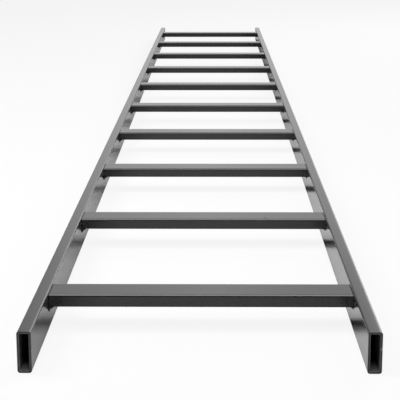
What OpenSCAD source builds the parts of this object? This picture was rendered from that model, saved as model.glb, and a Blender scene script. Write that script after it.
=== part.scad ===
// Straight section of tubular cable ladder, also called cable runway.
// Two rectangular steel tubes stand on edge as side rails, and flat rungs of the same tube are
// butt-welded between them. The rungs sit just under the top edge of the rails, so the rails keep
// the cables from sliding off. Every rung end has a fillet weld on its underside, and the rails
// are open at both ends for the plugs or splices of the next section.
//
// Frame: X runs across the ladder, Y along it and Z up. The origin is on the level that the rails
// stand on, midway between the rails and midway along them.

/* [Ladder] */
// Overall length of the section, end to end of the rails
section_len = 3016; // [2850:1:3400]
// Clear width between the rails, which is also the length of a rung. The middles of the rails
// are one rail width further apart
clear_w = 292.1; // [150:0.1:600]
// Number of rungs
rung_count = 10; // [2:1:10]
// Distance from the middle of one rung to the middle of the next
rung_pitch = 304.8; // [150:0.1:320]

/* [Rail tube] */
// Height of the rail tube
rail_h = 38.1; // [30:0.1:60]
// Width of the rail tube
rail_w = 12.7; // [9:0.1:25]
// Wall of the rail tube
rail_wall = 2.1; // [1:0.05:2.2]
// Outside corner radius of the rail tube
rail_corner_r = 2.4; // [2.3:0.05:3.5]

/* [Rung tube] */
// Width of the rung tube, along the ladder
rung_w = 38.1; // [20:0.1:60]
// Height of the rung tube
rung_h = 12.7; // [9:0.1:20]
// Wall of the rung tube
rung_wall = 2.1; // [1:0.05:2.2]
// Outside corner radius of the rung tube
rung_corner_r = 2.4; // [2.3:0.05:3.5]
// Depth of the rung's top below the top of the rails
rung_recess = 3.2; // [2.4:0.1:8]

/* [Welds] */
// Leg of the fillet welds on the left rail
left_weld_leg = 4.8; // [1.5:0.1:6]
// Leg of the fillet welds on the right rail
right_weld_leg = 2.2; // [1.5:0.1:6]
// Hollow of the weld face: 1 is a full quarter round, and more is flatter
weld_flatness = 1.6; // [1.2:0.1:4]

/* [Hidden] */
$fn = 48;
RUNG_NAMES = [for (i = [1 : rung_count]) str("rung_", i < 10 ? "0" : "", i)];

// Middle of a rail, from the middle of the ladder.
rail_x = (clear_w + rail_w) / 2;
// Underside and middle height of the rungs.
rung_bottom_z = rail_h - rung_recess - rung_h;
rung_mid_z = rung_bottom_z + rung_h / 2;
// Middle of the first rung. The two ends of the section stick out equally.
first_rung_y = -(rung_count - 1) * rung_pitch / 2;

// Middle of rung i along the ladder, counted from 0 at the near end.
function rung_y(i) = first_rung_y + i * rung_pitch;

// Rectangle with true round corners, centred.
module rounded_rect(w, h, r) {
    square([w - 2 * r, h], center = true);
    square([w, h - 2 * r], center = true);
    for (sx = [-1, 1], sy = [-1, 1])
        translate([sx * (w / 2 - r), sy * (h / 2 - r)])
            circle(r = r);
}

// Section of a rolled rectangular tube: the corners bend round with one wall throughout.
module tube_section(w, h, wall, r) {
    difference() {
        rounded_rect(w, h, r);
        rounded_rect(w - 2 * wall, h - 2 * wall, r - wall);
    }
}

// Side rail, standing on edge, with side -1 on the left and 1 on the right.
module rail(side) {
    color("#333335")
        translate([side * rail_x, 0, rail_h / 2])
            rotate([90, 0, 0])
                linear_extrude(section_len, center = true)
                    tube_section(rail_w, rail_h, rail_wall, rail_corner_r);
}

// Rung i, lying flat, cut square to butt against both rails.
module rung(i) {
    color("#2c2c2e")
        translate([0, rung_y(i), rung_mid_z])
            rotate([90, 0, 90])
                linear_extrude(clear_w, center = true)
                    tube_section(rung_w, rung_h, rung_wall, rung_corner_r);
}

// Section of a fillet weld in the corner at the origin: one leg runs along +X and one along -Y,
// and the face between their toes is hollow.
module fillet_section(leg) {
    hollow = weld_flatness * leg;
    difference() {
        polygon([[0, 0], [leg, 0], [0, -leg]]);
        translate([hollow, -hollow])
            circle(r = norm([hollow - leg, hollow]));
    }
}

// Weld under one end of rung i, as long as the flat of the rung's underside.
module weld_bead(i, side) {
    bead_len = rung_w - 2 * rung_corner_r;
    translate([side * clear_w / 2, rung_y(i), rung_bottom_z])
        mirror([side > 0 ? 1 : 0, 0, 0])
            rotate([90, 0, 0])
                linear_extrude(bead_len, center = true)
                    fillet_section(side > 0 ? right_weld_leg : left_weld_leg);
}

module weld_beads() {
    color("#262627")
        for (i = [0 : rung_count - 1], side = [-1, 1])
            weld_bead(i, side);
}

rail(-1);  // left_rail
rail(1);  // right_rail
for (i = [0 : rung_count - 1])
    rung(i);
weld_beads();
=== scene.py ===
# %% [markdown]
# # A straight section of tubular cable ladder
# A cable ladder, or cable runway, carries bundles of cable over racks and along walls. Two steel
# tubes stand on edge as side rails, and ten short flat tubes are butted between them as rungs. A
# fillet weld under each rung end holds it, and the whole section is powder coated in black.
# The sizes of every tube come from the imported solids. This script adds what the solids leave out:
# the softened saw cuts, the rippled welds and the coat, and then a plain studio to look at them in.

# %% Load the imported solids
import math
import bpy
from mathutils import Matrix, Vector


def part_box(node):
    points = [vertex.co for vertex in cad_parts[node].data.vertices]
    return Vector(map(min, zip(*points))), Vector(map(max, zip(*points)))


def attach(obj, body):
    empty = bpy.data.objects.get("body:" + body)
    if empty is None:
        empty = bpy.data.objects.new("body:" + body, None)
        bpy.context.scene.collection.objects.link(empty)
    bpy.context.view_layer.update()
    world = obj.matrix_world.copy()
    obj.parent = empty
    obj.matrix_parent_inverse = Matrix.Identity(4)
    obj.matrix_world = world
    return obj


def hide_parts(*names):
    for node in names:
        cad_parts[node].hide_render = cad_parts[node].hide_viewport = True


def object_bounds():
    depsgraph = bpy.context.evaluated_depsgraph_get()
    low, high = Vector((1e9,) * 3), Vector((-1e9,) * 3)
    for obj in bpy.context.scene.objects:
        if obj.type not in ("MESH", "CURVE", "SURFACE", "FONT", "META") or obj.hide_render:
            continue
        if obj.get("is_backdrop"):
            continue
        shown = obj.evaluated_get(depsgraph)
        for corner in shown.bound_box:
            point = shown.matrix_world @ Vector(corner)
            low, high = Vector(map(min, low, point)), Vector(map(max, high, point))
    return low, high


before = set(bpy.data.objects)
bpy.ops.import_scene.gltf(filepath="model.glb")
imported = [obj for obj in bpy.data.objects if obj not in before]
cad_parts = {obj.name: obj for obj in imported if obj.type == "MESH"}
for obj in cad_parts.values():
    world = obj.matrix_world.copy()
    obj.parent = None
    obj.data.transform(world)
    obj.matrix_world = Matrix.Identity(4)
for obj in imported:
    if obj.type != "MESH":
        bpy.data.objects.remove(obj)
cad_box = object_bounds()
BODY = "root"
RUNG_NODES = sorted(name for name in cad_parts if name.startswith("rung_"))
print("the solids hold", len(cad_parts), "nodes, and", len(RUNG_NODES), "of them are rungs")

# %% [markdown]
# ## Sizes
# The rails and rungs are read off the boxes of their solids, so the finished pieces land exactly
# where the solids are. Only the wall and the bend of the tube don't show in a box, so they are
# written here as a tube maker gives them: the wall, and the radius outside each bend.

# %% Read the driving sizes
MM = 0.001
WALL = 2.1 * MM
BEND_RADIUS = 2.4 * MM
CUT_SOFTNESS = 0.35 * MM


def size_of(node):
    """Size of a solid's box along X, Y and Z."""
    low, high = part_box(node)
    return high - low


def middle_of(node):
    """Middle of a solid's box."""
    low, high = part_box(node)
    return (low + high) / 2


rail_w, rail_len, rail_h = size_of("left_rail")
clear_w, rung_w, rung_h = size_of(RUNG_NODES[0])
rung_y = [middle_of(name).y for name in RUNG_NODES]
rung_pitch = rung_y[1] - rung_y[0]
rung_mid_z = middle_of(RUNG_NODES[0]).z
rung_bottom_z = rung_mid_z - rung_h / 2
near_y = -rail_len / 2
print("rails %.1f by %.1f mm, %.0f mm long" % (rail_w / MM, rail_h / MM, rail_len / MM))
print("rungs %.1f mm long, every %.1f mm" % (clear_w / MM, rung_pitch / MM))

# %% [markdown]
# ## Helpers for node trees
# Geometry trees and shader trees are built the same way: a node is made, its settings are set, and
# each input gets either a plain value or a link from another node. One small helper does all three,
# so that the recipes below read as lists of steps. The other two keep arithmetic to one line.

# %% Make a node, and do sums with nodes


def put(tree, kind, inputs=None, **settings):
    """Add a node; each input is a socket to link from, or a plain value."""
    node = tree.nodes.new(kind)
    for name, value in settings.items():
        setattr(node, name, value)
    for key, value in (inputs or {}).items():
        if isinstance(value, bpy.types.NodeSocket):
            tree.links.new(value, node.inputs[key])
        else:
            node.inputs[key].default_value = value
    return node


def sums(tree, operation, *terms, clamp=False):
    """Math node on its terms, and its result."""
    node = put(tree, "ShaderNodeMath", dict(enumerate(terms)), operation=operation, use_clamp=clamp)
    return node.outputs[0]


def start_tree(name, kind, inputs, outputs):
    """New node group with named inputs and outputs; returns it with its two end nodes."""
    tree = bpy.data.node_groups.new(name, kind)
    for label, socket, value in inputs:
        made = tree.interface.new_socket(label, in_out="INPUT", socket_type="NodeSocket" + socket)
        if value is not None:
            made.default_value = value
    for label, socket in outputs:
        tree.interface.new_socket(label, in_out="OUTPUT", socket_type="NodeSocket" + socket)
    return tree, tree.nodes.new("NodeGroupInput").outputs, tree.nodes.new("NodeGroupOutput").inputs


print("helpers ready: put, sums, start_tree")

# %% [markdown]
# ## The camera
# The ladder is seen from a metre beyond one end and less than half a metre above the floor, with
# a long lens. That view runs down the whole length and shows the open ends of both rails. The
# camera comes first because everything after it is judged through it.

# %% Place the camera
SENSOR_MM = 36.0
LENS_MM = 111.149
CAMERA_PAST_END = 1014.768 * MM
CAMERA_ASIDE = 12.302 * MM
CAMERA_HEIGHT = 387.666 * MM
CAMERA_YAW = 0.011394
CAMERA_PITCH = -0.225255
CAMERA_ROLL = 0.001452

camera = bpy.data.objects.new("camera", bpy.data.cameras.new("camera"))
bpy.context.scene.collection.objects.link(camera)
camera.data.sensor_width = SENSOR_MM
camera.data.lens = LENS_MM
camera.data.clip_start = 0.01
camera.data.clip_end = 100
level_view = Matrix.Rotation(math.pi / 2, 4, "X")
turn = Matrix.Rotation(CAMERA_YAW, 4, "Z") @ Matrix.Rotation(CAMERA_PITCH, 4, "X")
turn = turn @ Matrix.Rotation(CAMERA_ROLL, 4, "Y") @ level_view
place = Matrix.Translation((CAMERA_ASIDE, near_y - CAMERA_PAST_END, CAMERA_HEIGHT))
camera.matrix_world = place @ turn
bpy.context.scene.camera = camera
bpy.context.scene.view_settings.view_transform = "Standard"
print("camera at", [round(v, 3) for v in camera.matrix_world.translation])

# %% [markdown]
# ## The coat
# Powder coat is a thin melted plastic skin. It is near black by itself, so nearly all the light
# that comes off it is a reflection. Its look is in three things: the orange peel, a shallow
# uneven skin that softens the reflection; the thinner, shinier coat on the bends; and a film of
# dust and handling that greys it a little. It could be one image wrapped round each tube, but
# noise in Object coordinates needs no unwrapping and stays sharp at any distance. Each effect is a
# shader group, so that rails, rungs and welds can share it with their own amounts. Two smaller
# groups follow: the shallow crown that rolling leaves across a rail's top, and one small mark.

# %% Orange peel of the powder coat
CELLS_PER_SWELL = 9.0


def orange_peel_group():
    """Height of the coat's uneven skin, from Object coordinates."""
    tree, size, out = start_tree(
        "orange_peel", "ShaderNodeTree",
        [("Vector", "Vector", None), ("Cell Size", "Float", 1.4 * MM), ("Streaks", "Float", 0.3)],
        [("Height", "Float")])
    per_cell = sums(tree, "DIVIDE", 1.0, size["Cell Size"])
    skin = put(tree, "ShaderNodeTexNoise",
               {"Vector": size["Vector"], "Scale": per_cell, "Detail": 2.0, "Roughness": 0.55})
    per_swell = sums(tree, "DIVIDE", per_cell, CELLS_PER_SWELL)
    swell = put(tree, "ShaderNodeTexNoise",
                {"Vector": size["Vector"], "Scale": per_swell, "Detail": 1.0})
    mixed = sums(tree, "MULTIPLY", swell.outputs["Fac"], size["Streaks"])
    tree.links.new(sums(tree, "ADD", skin.outputs["Fac"], mixed), out["Height"])
    return tree


orange_peel = orange_peel_group()
print("orange peel group has", len(orange_peel.nodes), "nodes")

# %% Dust and handling marks
CLOUDS_PER_METRE = 14.0
GRAINS_PER_METRE = 420.0
SPECK_FROM = 0.66
SPECK_FULL = 0.78


def handling_group():
    """Mask of the grey film that dust and hands leave, and of short rubbed marks."""
    tree, size, out = start_tree(
        "handling", "ShaderNodeTree",
        [("Vector", "Vector", None), ("Film", "Float", 0.5), ("Marks", "Float", 0.5)],
        [("Mask", "Float")])
    cloud = put(tree, "ShaderNodeTexNoise",
                {"Vector": size["Vector"], "Scale": CLOUDS_PER_METRE, "Detail": 5.0,
                 "Roughness": 0.6})
    film = sums(tree, "MULTIPLY", cloud.outputs["Fac"], size["Film"])
    grain = put(tree, "ShaderNodeTexNoise",
                {"Vector": size["Vector"], "Scale": GRAINS_PER_METRE, "Detail": 2.0,
                 "Roughness": 0.7})
    specks = put(tree, "ShaderNodeMapRange",
                 {"Value": grain.outputs["Fac"], "From Min": SPECK_FROM, "From Max": SPECK_FULL})
    marks = sums(tree, "MULTIPLY", specks.outputs["Result"], size["Marks"])
    tree.links.new(sums(tree, "ADD", film, marks, clamp=True), out["Mask"])
    return tree


handling = handling_group()
print("handling group has", len(handling.nodes), "nodes")

# %% Crown of a rolled face


def crown_group():
    """Height of a shallow crown across the top of a rail, from Object coordinates."""
    tree, size, out = start_tree(
        "crown", "ShaderNodeTree",
        [("Vector", "Vector", None), ("Middle X", "Float", 0.15), ("Half Width", "Float", 6 * MM),
         ("Rise", "Float", 10.0)],
        [("Height", "Float")])
    across = put(tree, "ShaderNodeSeparateXYZ", {0: size["Vector"]}).outputs["X"]
    off_middle = sums(tree, "SUBTRACT", sums(tree, "ABSOLUTE", across), size["Middle X"])
    share = sums(tree, "DIVIDE", off_middle, size["Half Width"])
    fall = sums(tree, "MULTIPLY", sums(tree, "MULTIPLY", share, share), size["Rise"])
    tree.links.new(sums(tree, "SUBTRACT", 0.0, fall), out["Height"])
    return tree


crown = crown_group()
print("crown group has", len(crown.nodes), "nodes")

# %% A single small mark
RAGS_PER_METRE = 900.0
EDGE_FROM = 1.1
EDGE_FULL = 0.8


def mark_group():
    """Mask of one small mark with a ragged edge, round a point on the piece."""
    tree, size, out = start_tree(
        "mark", "ShaderNodeTree",
        [("Vector", "Vector", None), ("Centre", "Vector", None), ("Radius", "Float", MM)],
        [("Mask", "Float")])
    away = put(tree, "ShaderNodeVectorMath", {0: size["Vector"], 1: size["Centre"]},
               operation="DISTANCE")
    ragged = put(tree, "ShaderNodeTexNoise", {"Vector": size["Vector"], "Scale": RAGS_PER_METRE})
    edge = sums(tree, "MULTIPLY", size["Radius"], sums(tree, "ADD", ragged.outputs["Fac"], 0.5))
    share = sums(tree, "DIVIDE", away.outputs["Value"], edge)
    mask = put(tree, "ShaderNodeMapRange",
               {"Value": share, "From Min": EDGE_FULL, "From Max": EDGE_FROM, "To Min": 1.0,
                "To Max": 0.0})
    tree.links.new(mask.outputs["Result"], out["Mask"])
    return tree


mark = mark_group()
print("mark group has", len(mark.nodes), "nodes")

# %% [markdown]
# The coat itself is one Principled shader, and only its amounts differ between the pieces. The
# mask of bends and the mask of the bore come with each tube as attributes, written where the tube
# is made: bends are a little shinier, and inside the bore the coat is rougher and painted a lighter
# grey, which is painted light that lifts the shade in there.

# %% Recipe of a coat
DUST_GAIN = 6.0
DUST_FLOOR = 0.06
# A lighter grey for inside the bore: painted light that lifts the shade inside the tube.
BORE_PAINTED_LIGHT_TONE = (0.15, 0.145, 0.14)
WORN_ROUGHER = 0.22
SPOT_ROUGHER = 0.5
BEND_ROUGHER = -0.05
BORE_ROUGHER = 0.3
COAT_IOR = 1.5


def coat_material(name, colour, roughness, peel_depth, cell_size, film, marks, spots=(), rise=0.0):
    """Black powder coat; spots are (centre, radius, greyness), and rise is the crown's height."""
    material = bpy.data.materials.new(name)
    material.use_nodes = True
    tree = material.node_tree
    tree.nodes.clear()
    place = put(tree, "ShaderNodeTexCoord").outputs["Object"]
    bend = put(tree, "ShaderNodeAttribute", attribute_name="bend").outputs["Fac"]
    bore = put(tree, "ShaderNodeAttribute", attribute_name="bore").outputs["Fac"]
    peel = put(tree, "ShaderNodeGroup", node_tree=orange_peel)
    tree.links.new(place, peel.inputs["Vector"])
    peel.inputs["Cell Size"].default_value = cell_size
    worn = put(tree, "ShaderNodeGroup", node_tree=handling)
    tree.links.new(place, worn.inputs["Vector"])
    worn.inputs["Film"].default_value = film
    worn.inputs["Marks"].default_value = marks
    dust = [min(1.0, DUST_GAIN * c + DUST_FLOOR) for c in colour]
    base = put(tree, "ShaderNodeMix", {0: worn.outputs["Mask"], 6: (*colour, 1), 7: (*dust, 1)},
               data_type="RGBA")
    # Inside the bore the tone goes to the lighter grey, painted light for the shaded inside of the
    # tube.
    painted_bore_light = put(tree, "ShaderNodeMix", {0: bore, 6: base.outputs[2], 7: (*BORE_PAINTED_LIGHT_TONE, 1)},
                  data_type="RGBA")
    tone = painted_bore_light.outputs[2]
    rough = sums(tree, "MULTIPLY_ADD", worn.outputs["Mask"], WORN_ROUGHER, roughness)
    for centre, radius, grey in spots:
        spot = put(tree, "ShaderNodeGroup", node_tree=mark)
        tree.links.new(place, spot.inputs["Vector"])
        spot.inputs["Centre"].default_value = centre
        spot.inputs["Radius"].default_value = radius
        spotted = put(tree, "ShaderNodeMix",
                      {0: spot.outputs["Mask"], 6: tone, 7: (grey, grey, grey, 1)},
                      data_type="RGBA")
        tone = spotted.outputs[2]
        rough = sums(tree, "MULTIPLY_ADD", spot.outputs["Mask"], SPOT_ROUGHER, rough)
    rough = sums(tree, "MULTIPLY_ADD", bend, BEND_ROUGHER, rough)
    rough = sums(tree, "MULTIPLY_ADD", bore, BORE_ROUGHER, rough, clamp=True)
    height = peel.outputs["Height"]
    if rise:
        crowned = put(tree, "ShaderNodeGroup", node_tree=crown)
        tree.links.new(place, crowned.inputs["Vector"])
        crowned.inputs["Middle X"].default_value = (clear_w + rail_w) / 2
        crowned.inputs["Half Width"].default_value = rail_w / 2
        crowned.inputs["Rise"].default_value = rise / peel_depth
        height = sums(tree, "ADD", height, crowned.outputs["Height"])
    bump = put(tree, "ShaderNodeBump", {"Height": height, "Distance": peel_depth, "Strength": 1.0})
    shader = put(tree, "ShaderNodeBsdfPrincipled",
                 {"Base Color": tone, "Roughness": rough, "IOR": COAT_IOR,
                  "Normal": bump.outputs["Normal"]})
    finish = put(tree, "ShaderNodeOutputMaterial", {"Surface": shader.outputs[0]})
    finish.is_active_output = True
    return material


print("coat recipe ready")

# %% [markdown]
# Three coats come out of that recipe: smooth on the rails and rungs, and a little rougher and
# more finely pitted on the welds. The rails and the rungs also carry a few marks of their own from
# handling: a chip at the cut end of the right rail, and a small matt fleck on its top and on one
# rung.

# %% Mix the three coats
CROWN_RISE = 0.22 * MM
RAIL_BLACK = (0.010, 0.010, 0.011)
BLACK = (0.010, 0.010, 0.010)

rail_edge = clear_w / 2 + rail_w
rail_spots = [((rail_edge - 2.8 * MM, near_y + 125 * MM, rail_h), 1.5 * MM, 0.012),
              ((rail_edge - 0.3 * MM, near_y, 22.7 * MM), 1.6 * MM, 0.16)]
rung_spots = [((74.5 * MM, rung_y[1] - 12 * MM, rung_mid_z + rung_h / 2), 1.8 * MM, 0.012)]
rail_coat = coat_material("rail_coat", RAIL_BLACK, roughness=0.20, peel_depth=0.02 * MM,
                          cell_size=1.5 * MM, film=0.10, marks=0.4, spots=rail_spots,
                          rise=CROWN_RISE)
rung_coat = coat_material("rung_coat", BLACK, roughness=0.18, peel_depth=0.02 * MM,
                          cell_size=1.5 * MM, film=0.10, marks=0.3, spots=rung_spots)
weld_coat = coat_material("weld_coat", BLACK, roughness=0.24, peel_depth=0.03 * MM,
                          cell_size=0.9 * MM, film=0.12, marks=0.2)
print("coats:", rail_coat.name, rung_coat.name, weld_coat.name)

# %% [markdown]
# ## The tube
# A rectangular tube is rolled from flat strip, so its wall is one thickness all the way round and
# its corners are bends. It could be extruded as a ring and its cut ends bevelled. Here it is
# thought of the other way round: a cut through the wall along the tube is one tall, thin
# rectangle, and that rectangle is swept once around the middle line of the section. The sweep
# closes on itself, so the tube is watertight with no caps, and rounding the thin rectangle's
# corners softens the saw cuts at both ends, inside and out, as deburring and the coat do.

# %% Geometry Nodes tree of one tube
BEND_STEPS = 9
CUT_STEPS = 3
BORE_SHARE = 0.3


def rolled_tube_tree():
    """Tube along Z, centred, with masks for its bends and its bore."""
    tree, size, out = start_tree(
        "rolled_tube", "GeometryNodeTree",
        [("Width", "Float", 12.7 * MM), ("Height", "Float", 38.1 * MM), ("Length", "Float", 0.3),
         ("Wall", "Float", WALL), ("Bend Radius", "Float", BEND_RADIUS),
         ("Cut Softness", "Float", CUT_SOFTNESS)],
        [("Geometry", "Geometry")])
    line_w = sums(tree, "SUBTRACT", size["Width"], size["Wall"])
    line_h = sums(tree, "SUBTRACT", size["Height"], size["Wall"])
    half_wall = sums(tree, "MULTIPLY", size["Wall"], 0.5)
    line = put(tree, "GeometryNodeCurvePrimitiveQuadrilateral", {"Width": line_w, "Height": line_h})
    bent = put(tree, "GeometryNodeFilletCurve",
               {"Curve": line.outputs[0], "Count": BEND_STEPS,
                "Radius": sums(tree, "SUBTRACT", size["Bend Radius"], half_wall)}, mode="POLY")
    upright = put(tree, "GeometryNodeSetCurveNormal", {"Curve": bent.outputs[0]}, mode="Z_UP")
    cut = put(tree, "GeometryNodeCurvePrimitiveQuadrilateral",
              {"Width": size["Wall"], "Height": size["Length"]})
    soft = put(tree, "GeometryNodeFilletCurve",
               {"Curve": cut.outputs[0], "Count": CUT_STEPS, "Radius": size["Cut Softness"]},
               mode="POLY")
    swept = put(tree, "GeometryNodeCurveToMesh",
                {"Curve": upright.outputs[0], "Profile Curve": soft.outputs[0]})
    spot = put(tree, "ShaderNodeSeparateXYZ", {0: put(tree, "GeometryNodeInputPosition").outputs[0]})
    from_side_x = sums(tree, "SUBTRACT", sums(tree, "MULTIPLY", line_w, 0.5),
                       sums(tree, "ABSOLUTE", spot.outputs["X"]))
    from_side_y = sums(tree, "SUBTRACT", sums(tree, "MULTIPLY", line_h, 0.5),
                       sums(tree, "ABSOLUTE", spot.outputs["Y"]))
    inside = sums(tree, "MINIMUM", from_side_x, from_side_y)
    bore = sums(tree, "GREATER_THAN", inside, sums(tree, "MULTIPLY", size["Wall"], BORE_SHARE))
    marked = put(tree, "GeometryNodeStoreNamedAttribute",
                 {"Geometry": swept.outputs[0], "Name": "bore", "Value": bore},
                 data_type="FLOAT", domain="FACE")
    near_corner = sums(tree, "MAXIMUM", from_side_x, from_side_y)
    bend = sums(tree, "LESS_THAN", near_corner, size["Bend Radius"])
    marked = put(tree, "GeometryNodeStoreNamedAttribute",
                 {"Geometry": marked.outputs[0], "Name": "bend", "Value": bend},
                 data_type="FLOAT", domain="POINT")
    smooth = put(tree, "GeometryNodeSetShadeSmooth", {"Geometry": marked.outputs[0]})
    tree.links.new(smooth.outputs[0], out["Geometry"])
    return tree


rolled_tube = rolled_tube_tree()
print("tube tree has", len(rolled_tube.nodes), "nodes")

# %% [markdown]
# A tree only becomes a piece when a modifier runs it. The inputs are set by each socket's
# identifier before the first evaluation. The result is then copied out as a plain mesh and the
# modifier goes. Last, face-weighted normals are worked out: they keep the wide flats truly flat
# in a reflection and leave the turning to the narrow strips of the bends.

# %% Turn a tree into a plain piece
FLATS_WEIGHT = 80


def bake_modifiers(source, name):
    """Replace an object by one with its evaluated mesh and no modifier."""
    bpy.context.view_layer.update()
    graph = bpy.context.evaluated_depsgraph_get()
    mesh = bpy.data.meshes.new_from_object(source.evaluated_get(graph), depsgraph=graph)
    bpy.data.objects.remove(source)
    piece = bpy.data.objects.new(name, mesh)
    mesh.name = name
    bpy.context.scene.collection.objects.link(piece)
    return piece


def grow(name, tree, values):
    """Run a geometry tree with the given inputs and return a plain mesh object."""
    seed = bpy.data.objects.new(name + "_seed", bpy.data.meshes.new(name + "_seed"))
    bpy.context.scene.collection.objects.link(seed)
    modifier = seed.modifiers.new("tree", "NODES")
    modifier.node_group = tree
    for socket in tree.interface.items_tree:
        if socket.in_out == "INPUT" and socket.name in values:
            modifier[socket.identifier] = values[socket.name]
    finished = bake_modifiers(seed, name)
    weighted = finished.modifiers.new("flats", "WEIGHTED_NORMAL")
    weighted.keep_sharp = False
    weighted.weight = FLATS_WEIGHT
    return bake_modifiers(finished, name)


def signed_volume(mesh):
    """Volume inside a mesh, which is positive when its faces point outwards."""
    mesh.calc_loop_triangles()
    corners = [vertex.co for vertex in mesh.vertices]
    total = 0.0
    for triangle in mesh.loop_triangles:
        a, b, c = (corners[i] for i in triangle.vertices)
        total += a.dot(b.cross(c)) / 6
    return total


def report(piece):
    """Print a piece's triangles, size and volume."""
    low = [min(v.co[k] for v in piece.data.vertices) for k in range(3)]
    high = [max(v.co[k] for v in piece.data.vertices) for k in range(3)]
    spans = " x ".join("%.2f" % ((b - a) / MM) for a, b in zip(low, high))
    volume = signed_volume(piece.data) / MM ** 3
    print("%s: %d triangles, %s mm, %.0f mm3" % (
        piece.name, len(piece.data.loop_triangles), spans, volume))


print("helpers ready: grow, bake_modifiers, signed_volume, report")

# %% [markdown]
# ## The side rails
# Both rails are the same tube, stood on edge and laid along Y. One tree places the tube at a
# distance from the middle of the ladder, and it runs once for each side.

# %% Tree of a side rail


def side_rail_tree():
    """Rail standing on edge along Y, at a given distance from the middle."""
    tree, size, out = start_tree(
        "side_rail", "GeometryNodeTree",
        [("Width", "Float", 0.0), ("Height", "Float", 0.0), ("Length", "Float", 0.0),
         ("Aside", "Float", 0.0), ("Coat", "Material", None)],
        [("Geometry", "Geometry")])
    tube = put(tree, "GeometryNodeGroup", node_tree=rolled_tube)
    for name in ("Width", "Height", "Length"):
        tree.links.new(size[name], tube.inputs[name])
    spot = put(tree, "ShaderNodeCombineXYZ",
               {"X": size["Aside"], "Z": sums(tree, "MULTIPLY", size["Height"], 0.5)})
    laid = put(tree, "GeometryNodeTransform",
               {"Geometry": tube.outputs[0], "Translation": spot.outputs[0],
                "Rotation": (math.pi / 2, 0, 0)})
    real = put(tree, "GeometryNodeRealizeInstances", {"Geometry": laid.outputs[0]})
    dressed = put(tree, "GeometryNodeSetMaterial",
                  {"Geometry": real.outputs[0], "Material": size["Coat"]})
    tree.links.new(dressed.outputs[0], out["Geometry"])
    return tree


side_rail = side_rail_tree()
print("rail tree has", len(side_rail.nodes), "nodes")

# %% Make both rails
for node in ("left_rail", "right_rail"):
    rail = grow(node + "_tube", side_rail,
                {"Width": rail_w, "Height": rail_h, "Length": rail_len,
                 "Aside": middle_of(node).x, "Coat": rail_coat})
    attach(rail, BODY)
    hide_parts(node)
    report(rail)

# %% [markdown]
# ## The rungs
# The rungs are the same tube again, cut to the clear width and laid flat. Ten of them follow one
# rule, a fixed pitch, so a line of points carries a copy on each point, and the copies are made
# real at the end.

# %% Tree of the row of rungs


def rung_row_tree():
    """Row of rungs along Y, with the tubes laid flat along X."""
    tree, size, out = start_tree(
        "rung_row", "GeometryNodeTree",
        [("Width", "Float", 0.0), ("Height", "Float", 0.0), ("Length", "Float", 0.0),
         ("Count", "Int", 2), ("Pitch", "Float", 0.0), ("First Y", "Float", 0.0),
         ("Middle Z", "Float", 0.0), ("Coat", "Material", None)],
        [("Geometry", "Geometry")])
    tube = put(tree, "GeometryNodeGroup", node_tree=rolled_tube)
    tree.links.new(size["Height"], tube.inputs["Width"])
    tree.links.new(size["Width"], tube.inputs["Height"])
    tree.links.new(size["Length"], tube.inputs["Length"])
    start = put(tree, "ShaderNodeCombineXYZ", {"Y": size["First Y"], "Z": size["Middle Z"]})
    step = put(tree, "ShaderNodeCombineXYZ", {"Y": size["Pitch"]})
    spots = put(tree, "GeometryNodeMeshLine",
                {"Count": size["Count"], "Start Location": start.outputs[0],
                 "Offset": step.outputs[0]})
    row = put(tree, "GeometryNodeInstanceOnPoints",
              {"Points": spots.outputs[0], "Instance": tube.outputs[0],
               "Rotation": (0, math.pi / 2, 0)})
    real = put(tree, "GeometryNodeRealizeInstances", {"Geometry": row.outputs[0]})
    dressed = put(tree, "GeometryNodeSetMaterial",
                  {"Geometry": real.outputs[0], "Material": size["Coat"]})
    tree.links.new(dressed.outputs[0], out["Geometry"])
    return tree


rung_row = rung_row_tree()
print("rung tree has", len(rung_row.nodes), "nodes")

# %% Make the rungs
rungs = grow("rungs", rung_row,
             {"Width": rung_w, "Height": rung_h, "Length": clear_w, "Count": len(RUNG_NODES),
              "Pitch": rung_pitch, "First Y": rung_y[0], "Middle Z": rung_mid_z,
              "Coat": rung_coat})
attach(rungs, BODY)
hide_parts(*RUNG_NODES)
report(rungs)

# %% [markdown]
# ## The welds
# Each rung end has one fillet weld on its underside. A fillet weld is a triangular bead with a
# hollow face: one leg lies on the rung and one on the rail. The welder's hand leaves ripples
# along it, and it starts and ends thinner. The bead is a fillet section swept along a short line
# whose radius carries the ripples, and no two beads are alike because a seeded noise varies them
# with their place. The left rail was welded with a bigger bead than the right one.

# %% Tree of one row of weld beads
BEAD_STEPS = 64
BELLY_SHARE = 0.40
TOE_REACH = 1.12
TOE_ROUND = 0.05
TOE_STEPS = 4
DRIFTS_PER_METRE = 90.0
DRIFT_OF_RIPPLES = 5.0
LEAST_GIRTH = 0.86
GIRTH_WANDER = 0.22
END_SHARE = 0.07
END_GIRTH = 0.72


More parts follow.
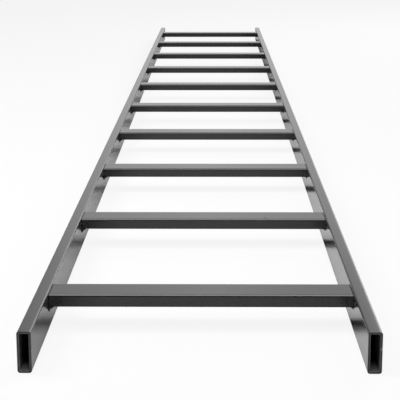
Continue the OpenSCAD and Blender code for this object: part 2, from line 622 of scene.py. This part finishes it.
def weld_row_tree():
    """Beads under the rung ends along one rail."""
    tree, size, out = start_tree(
        "weld_row", "GeometryNodeTree",
        [("Leg", "Float", 4 * MM), ("Bead Length", "Float", 33 * MM), ("Count", "Int", 2),
         ("Pitch", "Float", 0.3), ("First Y", "Float", 0.0), ("Face X", "Float", 0.0),
         ("Rung Bottom Z", "Float", 0.0), ("Inward", "Float", 1.0),
         ("Ripple Spacing", "Float", 2.1 * MM), ("Ripple Depth", "Float", 0.05),
         ("Sink", "Float", 0.15 * MM), ("Seed", "Float", 7.0)],
        [("Geometry", "Geometry")])
    half = sums(tree, "MULTIPLY", size["Bead Length"], 0.5)
    low = put(tree, "ShaderNodeCombineXYZ", {"Y": sums(tree, "MULTIPLY", half, -1.0)})
    high = put(tree, "ShaderNodeCombineXYZ", {"Y": half})
    line = put(tree, "GeometryNodeCurvePrimitiveLine",
               {"Start": low.outputs[0], "End": high.outputs[0]})
    fine = put(tree, "GeometryNodeResampleCurve", {"Curve": line.outputs[0], "Count": BEAD_STEPS})
    sunk = sums(tree, "MULTIPLY", size["Inward"], size["Sink"])
    start = put(tree, "ShaderNodeCombineXYZ",
                {"X": sums(tree, "SUBTRACT", size["Face X"], sunk), "Y": size["First Y"],
                 "Z": sums(tree, "ADD", size["Rung Bottom Z"], size["Sink"])})
    step = put(tree, "ShaderNodeCombineXYZ", {"Y": size["Pitch"]})
    spots = put(tree, "GeometryNodeMeshLine",
                {"Count": size["Count"], "Start Location": start.outputs[0],
                 "Offset": step.outputs[0]})
    rows = put(tree, "GeometryNodeInstanceOnPoints",
               {"Points": spots.outputs[0], "Instance": fine.outputs[0]})
    lines = put(tree, "GeometryNodeRealizeInstances", {"Geometry": rows.outputs[0]})
    along = put(tree, "GeometryNodeSplineParameter").outputs["Factor"]
    place = put(tree, "GeometryNodeInputPosition").outputs[0]
    drift = put(tree, "ShaderNodeTexNoise",
                {"Vector": place, "W": size["Seed"], "Scale": DRIFTS_PER_METRE, "Detail": 1.0},
                noise_dimensions="4D")
    turns = sums(tree, "DIVIDE", size["Bead Length"], size["Ripple Spacing"])
    phase = sums(tree, "MULTIPLY", sums(tree, "MULTIPLY", along, turns), 2 * math.pi)
    phase = sums(tree, "MULTIPLY_ADD", drift.outputs["Fac"], DRIFT_OF_RIPPLES, phase)
    ripple = sums(tree, "MULTIPLY", sums(tree, "SINE", phase), size["Ripple Depth"])
    from_end = sums(tree, "MINIMUM", along, sums(tree, "SUBTRACT", 1.0, along))
    taper = put(tree, "ShaderNodeMapRange",
                {"Value": from_end, "From Max": END_SHARE, "To Min": END_GIRTH, "To Max": 1.0},
                interpolation_type="SMOOTHSTEP").outputs["Result"]
    wander = sums(tree, "MULTIPLY_ADD", drift.outputs["Fac"], GIRTH_WANDER, LEAST_GIRTH)
    girth = sums(tree, "MULTIPLY", sums(tree, "ADD", wander, ripple), taper)
    sized = put(tree, "GeometryNodeSetCurveRadius", {"Curve": lines.outputs[0], "Radius": girth})
    upright = put(tree, "GeometryNodeSetCurveNormal", {"Curve": sized.outputs[0]}, mode="Z_UP")
    long_leg = sums(tree, "MULTIPLY", size["Leg"], TOE_REACH)
    belly = sums(tree, "MULTIPLY", size["Leg"], BELLY_SHARE)
    toe = put(tree, "ShaderNodeCombineXYZ",
              {"X": sums(tree, "MULTIPLY", long_leg, size["Inward"])})
    face = put(tree, "ShaderNodeCombineXYZ",
               {"X": sums(tree, "MULTIPLY", belly, size["Inward"]), "Y": belly})
    side = put(tree, "ShaderNodeCombineXYZ", {"Y": long_leg})
    section = put(tree, "GeometryNodeCurvePrimitiveQuadrilateral",
                  {"Point 1": (0, 0, 0), "Point 2": toe.outputs[0], "Point 3": face.outputs[0],
                   "Point 4": side.outputs[0]}, mode="POINTS")
    round_section = put(tree, "GeometryNodeFilletCurve",
                        {"Curve": section.outputs[0], "Count": TOE_STEPS, "Limit Radius": True,
                         "Radius": sums(tree, "MULTIPLY", size["Leg"], TOE_ROUND)}, mode="POLY")
    beads = put(tree, "GeometryNodeCurveToMesh",
                {"Curve": upright.outputs[0], "Profile Curve": round_section.outputs[0],
                 "Fill Caps": True})
    smooth = put(tree, "GeometryNodeSetShadeSmooth", {"Geometry": beads.outputs[0]})
    tree.links.new(smooth.outputs[0], out["Geometry"])
    return tree


weld_row = weld_row_tree()
print("weld row tree has", len(weld_row.nodes), "nodes")

# %% Tree that joins the two rows


def weld_beads_tree():
    """Rows of beads along both rails, each with its own leg."""
    tree, size, out = start_tree(
        "weld_beads", "GeometryNodeTree",
        [("Left Leg", "Float", 4.8 * MM), ("Right Leg", "Float", 2.2 * MM),
         ("Bead Length", "Float", 33 * MM), ("Count", "Int", 2), ("Pitch", "Float", 0.3),
         ("First Y", "Float", 0.0), ("Half Width", "Float", 0.15),
         ("Rung Bottom Z", "Float", 0.0), ("Coat", "Material", None)],
        [("Geometry", "Geometry")])
    joined = put(tree, "GeometryNodeJoinGeometry")
    for leg, inward, seed in (("Left Leg", 1.0, 7.0), ("Right Leg", -1.0, 19.0)):
        row = put(tree, "GeometryNodeGroup", node_tree=weld_row)
        for name in ("Bead Length", "Count", "Pitch", "First Y", "Rung Bottom Z"):
            tree.links.new(size[name], row.inputs[name])
        tree.links.new(size[leg], row.inputs["Leg"])
        tree.links.new(sums(tree, "MULTIPLY", size["Half Width"], -inward), row.inputs["Face X"])
        row.inputs["Inward"].default_value = inward
        row.inputs["Seed"].default_value = seed
        flipped = put(tree, "GeometryNodeFlipFaces",
                      {"Mesh": row.outputs[0], "Selection": inward < 0})
        tree.links.new(flipped.outputs[0], joined.inputs[0])
    real = put(tree, "GeometryNodeRealizeInstances", {"Geometry": joined.outputs[0]})
    dressed = put(tree, "GeometryNodeSetMaterial",
                  {"Geometry": real.outputs[0], "Material": size["Coat"]})
    tree.links.new(dressed.outputs[0], out["Geometry"])
    return tree


print("weld tree joins two rows")

# %% Make the beads
LEFT_LEG = 4.8 * MM
RIGHT_LEG = 2.2 * MM
BEAD_SHORTER = 0.5 * BEND_RADIUS
welds = grow("welds", weld_beads_tree(),
             {"Left Leg": LEFT_LEG, "Right Leg": RIGHT_LEG,
              "Bead Length": rung_w - BEAD_SHORTER, "Count": len(RUNG_NODES),
              "Pitch": rung_pitch, "First Y": rung_y[0], "Half Width": clear_w / 2,
              "Rung Bottom Z": rung_bottom_z, "Coat": weld_coat})
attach(welds, BODY)
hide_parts("weld_beads")
report(welds)

# %% [markdown]
# ## The floor
# The ladder lies on a pale floor. To the camera the floor is nearly white by itself, through Is
# Camera Ray, and a small share of the lit, matt floor is left in so that the shadows show. The
# coat mirrors the matt floor as the lamps light it, with the shadows of the rungs and rails in it,
# and those shadows are the dark patches on the inner faces of the rails.

# %% Floor
FLOOR_SIZE = 24.0
SHADOW_KEPT = 0.12
FLOOR_GREY = 0.5

floor_mesh = bpy.data.meshes.new("floor")
reach = FLOOR_SIZE / 2
floor_mesh.from_pydata([(-reach, -reach, 0), (reach, -reach, 0), (reach, reach, 0),
                        (-reach, reach, 0)], [], [(0, 1, 2, 3)])
floor = bpy.data.objects.new("floor", floor_mesh)
bpy.context.scene.collection.objects.link(floor)
floor_paint = bpy.data.materials.new("floor_paint")
floor_paint.use_nodes = True
paint = floor_paint.node_tree
paint.nodes.clear()
path = put(paint, "ShaderNodeLightPath")
matt = put(paint, "ShaderNodeBsdfDiffuse", {"Color": (FLOOR_GREY, FLOOR_GREY, FLOOR_GREY, 1)})
white = put(paint, "ShaderNodeEmission", {"Color": (1, 1, 1, 1), "Strength": 1.0})
share = sums(paint, "MULTIPLY", path.outputs["Is Camera Ray"], 1 - SHADOW_KEPT)
blend = put(paint, "ShaderNodeMixShader", {0: share, 1: matt.outputs[0], 2: white.outputs[0]})
put(paint, "ShaderNodeOutputMaterial", {"Surface": blend.outputs[0]})
floor_mesh.materials.append(floor_paint)
floor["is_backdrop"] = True
print("floor", FLOOR_SIZE, "m wide")

# %% [markdown]
# ## The backdrop
# Black gloss only shows what it reflects, so the room is what models it. A pale wall stands behind
# the far end. It fills the tops of the rails and rungs, and it is brightest on the right, where a
# window would be. Above the wall and towards the camera the room is dim, so that the rung fronts
# stay black. It could be built from real walls, but the world's own shader does it with no mesh.
# The camera itself sees plain white.

# %% World
DIM_LEVEL = 0.08
WALL_SIDE = (-0.2, 0.7)
WALL_EDGE = (0.36, 0.50)
ABOVE_WALL = 0.22
RAMP_HALF = 0.4
WALL_PEAK = 1.7
WALL_LEVELS = [(-0.33, 0.30), (-0.14, 0.68), (0.0, 0.90), (0.09, 0.74), (0.14, 0.78), (0.22, 1.35),
               (0.34, WALL_PEAK)]

world = bpy.data.worlds.new("studio")
bpy.context.scene.world = world
world.use_nodes = True
sky = world.node_tree
sky.nodes.clear()
heading = put(sky, "ShaderNodeTexCoord").outputs["Generated"]
towards = put(sky, "ShaderNodeSeparateXYZ", {0: heading})
behind = put(sky, "ShaderNodeMapRange",
             {"Value": towards.outputs["Y"], "From Min": WALL_SIDE[0], "From Max": WALL_SIDE[1],
              "To Min": DIM_LEVEL, "To Max": 1.0}, interpolation_type="SMOOTHSTEP").outputs["Result"]
wall_top = put(sky, "ShaderNodeMapRange",
               {"Value": towards.outputs["Z"], "From Min": WALL_EDGE[0], "From Max": WALL_EDGE[1],
                "To Min": 1.0, "To Max": ABOVE_WALL},
               interpolation_type="SMOOTHSTEP").outputs["Result"]
across = put(sky, "ShaderNodeMapRange",
             {"Value": towards.outputs["X"], "From Min": -RAMP_HALF, "From Max": RAMP_HALF})
side_levels = put(sky, "ShaderNodeValToRGB", {0: across.outputs["Result"]})
stops = side_levels.color_ramp.elements
stops.remove(stops[1])
for sideways, level in WALL_LEVELS:
    stop = stops.new((sideways + RAMP_HALF) / (2 * RAMP_HALF))
    stop.color = (level / WALL_PEAK, level / WALL_PEAK, level / WALL_PEAK, 1)
stops.remove(stops[0])
side_level = sums(sky, "MULTIPLY", side_levels.outputs["Color"], WALL_PEAK)
wall = sums(sky, "MULTIPLY", sums(sky, "MULTIPLY", behind, wall_top), side_level)
seen = put(sky, "ShaderNodeLightPath").outputs["Is Camera Ray"]
strength = put(sky, "ShaderNodeMix", {0: seen, 2: wall, 3: 1.0})
glow = put(sky, "ShaderNodeBackground", {"Color": (1, 1, 1, 1), "Strength": strength.outputs[0]})
put(sky, "ShaderNodeOutputWorld", {"Surface": glow.outputs[0]})
print("the world has", len(sky.nodes), "nodes and", len(WALL_LEVELS), "levels along the wall")

# %% [markdown]
# ## The lamps
# A long box over the near half draws the thin bright lines along the bends. A box on the left
# throws the left rail's shadow inwards, and a third one on the far right lights the far floor,
# which lifts the reflections there.

# %% Soft lights


def soft_light(name, place, target, width, depth, power):
    """Rectangular area light that faces a target."""
    lamp = bpy.data.lights.new(name, "AREA")
    lamp.shape = "RECTANGLE"
    lamp.size = width
    lamp.size_y = depth
    lamp.energy = power
    holder = bpy.data.objects.new(name, lamp)
    holder.location = place
    aim = Vector(target) - Vector(place)
    holder.rotation_euler = aim.to_track_quat("-Z", "Y").to_euler()
    bpy.context.scene.collection.objects.link(holder)
    return holder


soft_light("top_box", place=(0, -1.55, 1.9), target=(0, -1.55, 0), width=1.0, depth=2.7, power=42)
soft_light("left_box", place=(-1.3, -1.0, 1.6), target=(0, -1.0, 0), width=0.7, depth=1.0, power=40)
soft_light("far_box", place=(1.6, 1.6, 1.5), target=(0, 1.0, 0), width=1.1, depth=1.5, power=60)
print("lamps:", [item.name for item in bpy.data.lights])

# %% [markdown]
# ## Sizes at the end
# The boxes of the solids and of the finished pieces are printed side by side, so that any change
# of size from dressing the ladder would show.

# %% Print both boxes
seen_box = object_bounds()
for label, (low, high) in (("solids", cad_box), ("pieces", seen_box)):
    print(label, [round((b - a) / MM, 2) for a, b in zip(low, high)])
